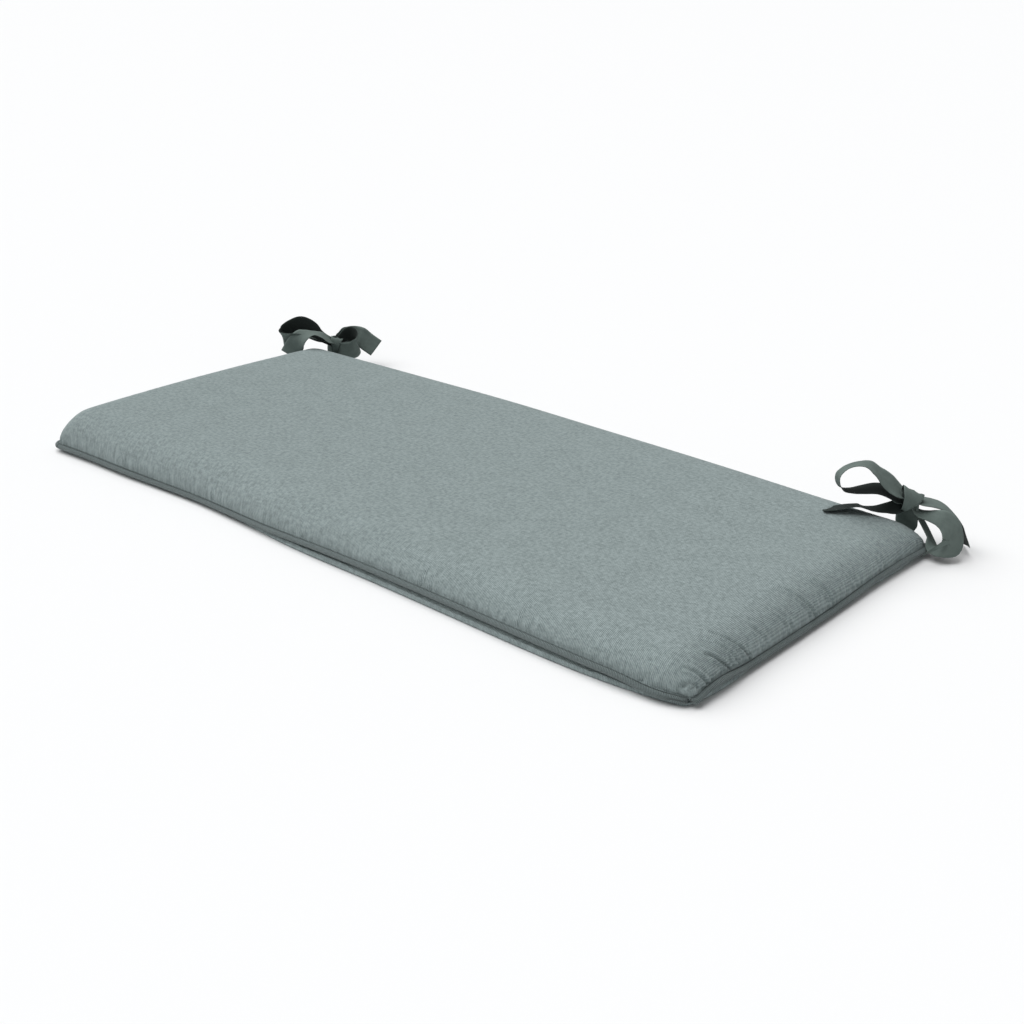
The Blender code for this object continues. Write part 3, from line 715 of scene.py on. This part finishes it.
# Both bows face the front right corner, so their tables are turned by BOW_YAW about Z at the knot. Each row
# is a section of ribbon: its middle (across the bow, back from its face, up), the way its width runs and, in
# some strips, the share of its width that is left where it is gathered. A measuring script worked out most
# rows of the right bow's long tail and short loop, of the left bow's short loop and of the end of its short
# tail, from places picked by eye. The other rows were set one by one.
BOW_YAW = 41.0  # degrees
KNOT_PINCH = 0.55  # share of its width that a ribbon keeps inside the knot
PINCH_REACH = 0.018  # from the knot to where the ribbon has its full width
TIE_INSET = 0.040  # from the short edge to the middle of a tie, along the back seam
RIGHT_KNOT = (0.512, 0.252, 0.0625)
RIGHT_KNOT_RADII = (0.0140, 0.0110, 0.0145)
RIGHT_BOW = {
    "long_loop": (
        (-0.0020, 0.0000, 0.0030, 0.2, -0.8, -0.6),
        (-0.0120, 0.0000, 0.0110, 0.3, -0.7, -0.6),
        (-0.0235, 0.0000, 0.0205, 0.3, -0.6, -0.7),
        (-0.0340, 0.0000, 0.0295, 0.2, -0.7, -0.6),
        (-0.0470, 0.0000, 0.0415, 0.1, -0.85, -0.25),
        (-0.0570, 0.0000, 0.0455, 0, -1, 0.1),
        (-0.0700, 0.0000, 0.0450, 0, -1, 0.25),
        (-0.0810, 0.0000, 0.0395, 0, -1, 0.3),
        (-0.0870, 0.0000, 0.0312, 0, -1, 0.3),
        (-0.0870, 0.0000, 0.0223, 0, -1, 0.25),
        (-0.0815, 0.0000, 0.0135, 0, -1, 0.22),
        (-0.0710, 0.0000, 0.0115, 0, -1, 0.17),
        (-0.0570, 0.0000, 0.0128, 0, -1, 0.05),
        (-0.0410, 0.0000, 0.0142, 0, -1, -0.08),
        (-0.0270, 0.0010, 0.0105, 0, -0.9, -0.2),
        (-0.0140, 0.0020, 0.0020, 0, -0.95, -0.2),
        (-0.0020, 0.0020, -0.0030, 0, -1, 0),
    ),
    "long_tail": (
        (-0.0010, 0.0000, -0.0060, 0, -0.9, -0.3, 0.55),
        (-0.0143, -0.0040, -0.0085, 0.1, -0.7, -0.7, 0.60),
        (-0.0270, -0.0030, -0.0105, 0, -0.95, -0.25, 0.65),
        (-0.0398, -0.0010, -0.0125, 0, -0.97, 0.1, 0.80),
        (-0.0501, 0.0000, -0.0118, 0.1, -0.96, 0.22, 1.00),
        (-0.0586, 0.0000, -0.0088, -0.1, -0.96, 0.26, 1.00),
        (-0.0717, 0.0000, -0.0090, 0, -0.965, 0.26, 1.00),
        (-0.0866, 0.0000, -0.0116, 0, -0.965, 0.25, 1.00),
        (-0.0960, 0.0000, -0.0128, 0, -0.965, 0.25, 1.00),
        (-0.1040, 0.0000, -0.0134, 0, -0.965, 0.25, 1.00),
    ),
    "short_loop": (
        (0.0030, -0.0020, -0.0050, 0, -1, 0, 0.50),
        (0.0090, -0.0050, -0.0120, -0.2, -0.9, -0.3, 0.42),
        (0.0150, -0.0100, -0.0150, -0.32, -0.79, -0.52, 0.42),
        (0.0204, -0.0160, -0.0140, -0.43, -0.71, -0.55, 0.48),
        (0.0278, -0.0230, -0.0128, -0.40, -0.59, -0.70, 0.60),
        (0.0347, -0.0290, -0.0127, -0.54, -0.46, -0.70, 0.75),
        (0.0413, -0.0330, -0.0162, -0.71, -0.40, -0.58, 0.85),
        (0.0454, -0.0365, -0.0212, -0.83, -0.34, -0.43, 0.90),
        (0.0476, -0.0400, -0.0287, -0.95, -0.30, -0.13, 0.92),
        (0.0479, -0.0430, -0.0359, -0.96, -0.21, 0.17, 0.96),
        (0.0453, -0.0470, -0.0407, -0.90, -0.07, 0.42, 0.96),
        (0.0393, -0.0490, -0.0430, -0.70, 0.30, 0.60, 0.80),
        (0.0332, -0.0470, -0.0448, -0.29, 0.85, 0.40, 0.70),
        (0.0296, -0.0400, -0.0468, 0.20, 0.95, 0.05, 0.72),
        (0.0288, -0.0300, -0.0478, 0.45, 0.87, -0.18, 0.76),
        (0.0280, -0.0200, -0.0445, 0.49, 0.85, -0.21, 0.66),
        (0.0239, -0.0120, -0.0364, 0.55, 0.82, -0.16, 0.56),
        (0.0180, -0.0055, -0.0262, 0.59, 0.80, -0.12, 0.48),
        (0.0110, -0.0005, -0.0160, 0.50, 0.85, -0.05, 0.44),
        (0.0020, 0.0020, -0.0040, 0.3, 0.95, 0, 0.50),
    ),
    "short_tail": (
        (0.0030, 0.0020, 0.0000, 0, -1, 0),
        (0.0150, 0.0000, -0.0020, 0, -1, 0),
        (0.0300, -0.0020, -0.0040, 0, -1, 0),
        (0.0420, -0.0040, -0.0075, 0, -1, 0),
        (0.0500, -0.0050, -0.0125, 0, -1, 0),
        (0.0580, -0.0060, -0.0195, 0, -1, 0.1),
        (0.0640, -0.0070, -0.0285, 0, -1, 0.2),
        (0.0685, -0.0095, -0.0405, 0, -0.95, 0.2),
        (0.0725, -0.0130, -0.0510, 0, -0.95, 0.2),
        (0.0742, -0.0145, -0.0560, 0, -0.95, 0.2),
    ),
}
LEFT_KNOT = (-0.508, 0.256, 0.0450)
LEFT_KNOT_RADII = (0.0110, 0.0095, 0.0120)
LEFT_BOW = {
    "long_loop": (
        (-0.0020, 0.0020, 0.0030, 0, -0.9, 0.4, 0.55),
        (-0.0150, 0.0060, 0.0040, 0, -0.4, 0.9, 0.65),
        (-0.0270, 0.0110, 0.0075, 0, -0.1, 1, 0.85),
        (-0.0360, 0.0140, 0.0130, 0, 0, 1, 1.00),
        (-0.0450, 0.0160, 0.0188, 0, 0, 1, 1.00),
        (-0.0540, 0.0168, 0.0216, 0, 0, 1, 1.00),
        (-0.0660, 0.0150, 0.0182, 0, 0, 1, 1.00),
        (-0.0760, 0.0100, 0.0140, -0.1, -0.1, 1, 1.00),
        (-0.0830, 0.0030, 0.0095, -0.1, -0.3, 0.9, 1.00),
        (-0.0820, -0.0050, 0.0080, -0.1, -0.5, 0.8, 1.00),
        (-0.0730, -0.0090, 0.0095, 0, -0.65, 0.75, 0.90),
        (-0.0580, -0.0120, 0.0125, 0, -0.75, 0.65, 0.75),
        (-0.0440, -0.0135, 0.0130, 0, -0.85, 0.5, 0.65),
        (-0.0300, -0.0130, 0.0095, 0, -0.9, 0.4, 0.55),
        (-0.0160, -0.0110, 0.0025, 0, -1, 0.2, 0.50),
        (-0.0030, -0.0030, -0.0040, 0, -1, 0, 0.50),
    ),
    "long_tail": (
        (-0.0010, -0.0070, 0.0025, 0, -1, -0.1),
        (-0.0100, -0.0140, 0.0095, 0, -1, 0),
        (-0.0200, -0.0190, 0.0170, 0, -1, 0.1),
        (-0.0300, -0.0210, 0.0205, 0, -1, 0.1),
        (-0.0400, -0.0235, 0.0198, 0.25, -0.95, -0.15),
        (-0.0480, -0.0255, 0.0168, 0.6, -0.75, -0.3),
        (-0.0535, -0.0250, 0.0115, 0.78, -0.6, -0.15),
        (-0.0585, -0.0225, 0.0040, 0.88, -0.42, 0.1),
        (-0.0640, -0.0185, -0.0050, 0.9, -0.36, 0.22),
        (-0.0695, -0.0145, -0.0145, 0.9, -0.36, 0.22),
        (-0.0720, -0.0127, -0.0190, 0.9, -0.36, 0.22),
    ),
    "short_loop": (
        (0.0020, -0.0030, -0.0040, 0, 0, 1, 0.60),
        (0.0094, -0.0110, -0.0080, 0.03, 0.1, 1, 0.68),
        (0.0216, -0.0150, -0.0088, 0.03, 0.09, 1, 0.80),
        (0.0310, -0.0145, -0.0085, -0.05, 0.08, 1, 0.95),
        (0.0362, -0.0085, -0.0055, -0.1, 0.03, 1, 1.00),
        (0.0365, 0.0000, 0.0010, -0.12, 0, 1, 0.95),
        (0.0319, 0.0070, 0.0080, -0.14, 0, 1, 0.85),
        (0.0248, 0.0115, 0.0090, -0.04, 0, 1, 0.80),
        (0.0169, 0.0100, 0.0070, 0.1, 0, 1, 0.70),
        (0.0106, 0.0060, 0.0021, 0.1, 0, 1, 0.55),
        (0.0030, 0.0020, -0.0020, 0.1, 0, 1, 0.50),
    ),
    "short_tail": (
        (0.0020, 0.0050, 0.0030, 0, 0, 1),
        (0.0120, 0.0170, 0.0030, 0, 0, 1),
        (0.0240, 0.0240, 0.0030, 0.05, 0.05, 1),
        (0.0316, 0.0230, 0.0030, 0.10, 0.27, 0.96),
        (0.0361, 0.0180, 0.0040, 0.20, 0.40, 0.90),
        (0.0400, 0.0140, 0.0042, 0.28, 0.46, 0.84),
        (0.0501, 0.0095, -0.0028, 0.31, 0.49, 0.82),
        (0.0580, 0.0067, -0.0077, 0.28, 0.52, 0.82),
        (0.0658, 0.0040, -0.0124, 0.25, 0.54, 0.81),
    ),
}
# The band over the knot: as above, and then the share of the ribbon's width that shows
RIGHT_BAND = (
    (0.0045, 0.0060, 0.0050, 0.9, 0, -0.47, 0.80),
    (0.0055, -0.0010, 0.0120, 0.9, 0, -0.47, 0.98),
    (0.0045, -0.0075, 0.0105, 0.9, 0, -0.47, 0.94),
    (0.0020, -0.0120, 0.0050, 0.9, 0, -0.47, 0.75),
    (-0.0025, -0.0125, -0.0025, 0.9, 0, -0.47, 0.46),
    (-0.0065, -0.0105, -0.0095, 0.9, 0, -0.47, 0.22),
    (-0.0070, -0.0050, -0.0130, 0.9, 0, -0.47, 0.16),
)
LEFT_BAND = (
    (0.0040, 0.0060, 0.0020, 0.95, 0, -0.27, 0.60),
    (0.0045, -0.0010, 0.0068, 0.95, 0, -0.27, 0.64),
    (0.0040, -0.0075, 0.0060, 0.95, 0, -0.27, 0.60),
    (0.0025, -0.0110, 0.0000, 0.95, 0, -0.27, 0.48),
    (0.0010, -0.0110, -0.0080, 0.95, 0, -0.27, 0.34),
    (-0.0005, -0.0090, -0.0150, 0.95, 0, -0.27, 0.24),
    (-0.0005, -0.0040, -0.0190, 0.95, 0, -0.27, 0.22),
)
# The strips whose side of painted shade is turned out, near-black where the ribbon lies in shade: none in the
# left bow
RIGHT_SHADE_SIDE_OUT = ("short_loop", "long_tail", "short_tail")
LEFT_SHADE_SIDE_OUT = ()


def ribbon_sections(rows):
    """Even sections along a ribbon: middle, direction of its width, share of its width, distance along."""
    table = np.array(rows)
    lengths = np.linalg.norm(np.diff(table[:, :3], axis=0), axis=1)
    places = np.concatenate([[0.0], np.cumsum(lengths)])
    stations = np.linspace(0, places[-1], max(4, round(places[-1] / RIBBON_STEP)) + 1)
    curve = smooth_curve(np.column_stack([places, table]), stations)
    tangents = np.gradient(curve[:, :3], axis=0)
    sections = []
    for station, row, tangent in zip(stations, curve, tangents):
        along = Vector(tangent).normalized()
        width = Vector(row[3:6])
        width = (width - along * width.dot(along)).normalized()
        share = row[6] if len(row) > 6 else 1.0
        sections.append((Vector(row[:3]), along, width, share, station))
    return sections


def lay_ribbon(bm, rows, ends_in_knot, layer, shade_side_out, cup=RIBBON_CUP):
    """A strip of ribbon bent along the sections of a table, cupped a little and gathered towards the knot."""
    sections = ribbon_sections(rows)
    last = sections[-1][4]
    half = (len(sections) - 1) / 2
    made = bmesh.ops.create_grid(
        bm, x_segments=len(sections) - 1, y_segments=RIBBON_COLUMNS, size=1.0,
        matrix=Matrix.Diagonal((half, 1, 1, 1)),
    )
    verts = made["verts"]
    laid = set(verts)
    for vert in verts:
        middle, along, width, share, station = sections[round(vert.co.x + half)]
        side = vert.co.y
        from_knot = min(station, last - station) if ends_in_knot else station
        eased = min(from_knot / PINCH_REACH, 1.0)
        eased = eased * eased * (3 - 2 * eased)
        if share == 1.0:  # the table leaves the width whole, so only the knot gathers it
            share = KNOT_PINCH + (1 - KNOT_PINCH) * eased
        out = along.cross(width)
        gather = GATHER_DEPTH * (1 - eased) * math.cos(side * GATHER_TURN)
        lift = cup * (side * side - CUP_LEVEL) + gather
        # The third value marks painted shade: the laid side takes it when shade_side_out is set, the back
        # otherwise
        vert[layer] = Vector((station, side * RIBBON / 2, float(shade_side_out)))
        vert.co = middle + width * (side * RIBBON / 2 * share) + out * lift
    faces = list(dict.fromkeys(face for vert in verts for face in vert.link_faces))
    bm.normal_update()
    shell = bmesh.ops.solidify(bm, geom=faces, thickness=RIBBON_THICK)["geom"]
    # The other side of the shell takes the opposite mark, so one side of every strip is painted shade
    for vert in {vert for face in shell if isinstance(face, bmesh.types.BMFace) for vert in face.verts}:
        if vert not in laid:
            vert[layer].z = 1.0 - float(shade_side_out)
    return last


STEM_CLEAR = 0.0008  # between the piping and the foot of the stem
STEM_BEND = Vector((0, 0.004, 0.012))  # from its foot to where it bends
STEM_LEAN = 0.6  # share of the way from there to the knot where it has its last section but one


def stem_rows(place):
    """The ribbon from the seam up to the knot, in the bow's own frame."""
    to_bow = place.inverted()
    knot = place.translation
    share = 1 - TIE_INSET / LENGTH if knot.x > 0 else TIE_INSET / LENGTH
    height, drawn_in = smooth_curve(SEAM_BACK, share)[0]
    root = Vector(((share - 0.5) * LENGTH, WIDTH / 2 - drawn_in, height + PIPING / 2 + STEM_CLEAR))
    bend = root + STEM_BEND
    along_seam = to_bow.to_3x3() @ Vector((1, 0, 0))
    return [(*(to_bow @ point), *along_seam) for point in (root, bend, bend.lerp(knot, STEM_LEAN), knot)]


KNOT_FILL = 0.8  # size of the knot's core, as a share of the knot


def make_bow(name, node, knot, radii, bow, band, shade_side_strips):
    """One bow: loops and tails, the stem that rises from the seam, the band over the knot and its core."""
    place = Matrix.Translation(knot) @ Matrix.Rotation(math.radians(BOW_YAW), 4, "Z")
    bm = bmesh.new()
    layer = bm.verts.layers.float_vector.new("cloth")
    cut = 0.0
    for piece, rows in bow.items():
        cut += lay_ribbon(bm, rows, piece.endswith("loop"), layer, piece in shade_side_strips)
    # The stem stands in the bow's shade, so it shows its side of painted shade
    cut += lay_ribbon(bm, stem_rows(place), False, layer, True)
    cut += lay_ribbon(bm, band, False, layer, False, 0.0)
    core = Matrix.Diagonal((*(KNOT_FILL * radius for radius in radii), 1))
    made = bmesh.ops.create_uvsphere(bm, u_segments=24, v_segments=14, radius=1.0, matrix=core)
    # The knot's core is all painted shade, near-black in the hollow of the knot
    for vert in made["verts"]:
        vert[layer] = Vector((vert.co.x, vert.co.z, 1.0))
    bmesh.ops.transform(bm, matrix=place, verts=bm.verts)
    bmesh.ops.recalc_face_normals(bm, faces=bm.faces)
    obj = mesh_object(name, bm)
    obj.data.materials.append(ribbon_cloth)
    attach(obj, "root")
    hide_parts(node)


RIBBON_DARK, RIBBON_LIGHT = (0.102, 0.131, 0.121), (0.172, 0.213, 0.198)
RIBBON_PAINTED_SHADE = (0.026, 0.033, 0.031)  # painted shade: near-black, on the side of each strip that lies in shade
RIBBON_FINISH = (0.85, 0.08, 0.06, (0.7, 0.78, 0.75))  # in the order of CLOTH_FINISH
RIBBON_RIB = 0.0009  # between its ribs, which run across it
RIBBON_RELIEF = 0.0003
SELVEDGE = (0.0128, 0.0138)  # from the ribbon's middle to where its firm edge starts and is full


def ribbon_material():
    """Close plain-woven ribbon: fine cross ribs, their valleys darkened as painted shade, and a firm edge in
    relief whose colour is lightened as a painted highlight.
    """
    material, shader, shade = new_material("ribbon weave", *RIBBON_FINISH)
    place = shade.node("Attribute", {"attribute_name": "cloth"}, {}, output=1)
    along = place.node("SeparateXYZ", {}, {0: place})
    across = place.node("SeparateXYZ", {}, {0: place}, output=1)
    rib = along.wave(RIBBON_RIB)
    side = across.maths_of("ABSOLUTE")
    edge = side.node("MapRange", {}, {"Value": side, "From Min": SELVEDGE[0], "From Max": SELVEDGE[1]})
    patches = place.mottle((90, 130, 1), 3.0, 0.6)
    # Darker between the ribs as painted shade, and lighter at the firm edges as a painted highlight
    tone = patches * 0.9 + rib * 0.2 + edge * 0.25 - 0.1
    face = tone.node("Clamp", {}, {"Value": tone}).between(RIBBON_DARK, RIBBON_LIGHT)
    # The third value of the place picks the near-black painted shade over the face colour
    painted_shade = place.node("SeparateXYZ", {}, {0: place}, output=2)
    colour = painted_shade.between(face, RIBBON_PAINTED_SHADE)
    height = rib * 0.5 + patches * 0.5 + edge * 0.6
    finish_material(shader, shade, colour, height, RIBBON_RELIEF, strength=0.6)
    return material


ribbon_cloth = ribbon_material()
make_bow("bow_right", "tie_right", RIGHT_KNOT, RIGHT_KNOT_RADII, RIGHT_BOW, RIGHT_BAND, RIGHT_SHADE_SIDE_OUT)
make_bow("bow_left", "tie_left", LEFT_KNOT, LEFT_KNOT_RADII, LEFT_BOW, LEFT_BAND, LEFT_SHADE_SIDE_OUT)
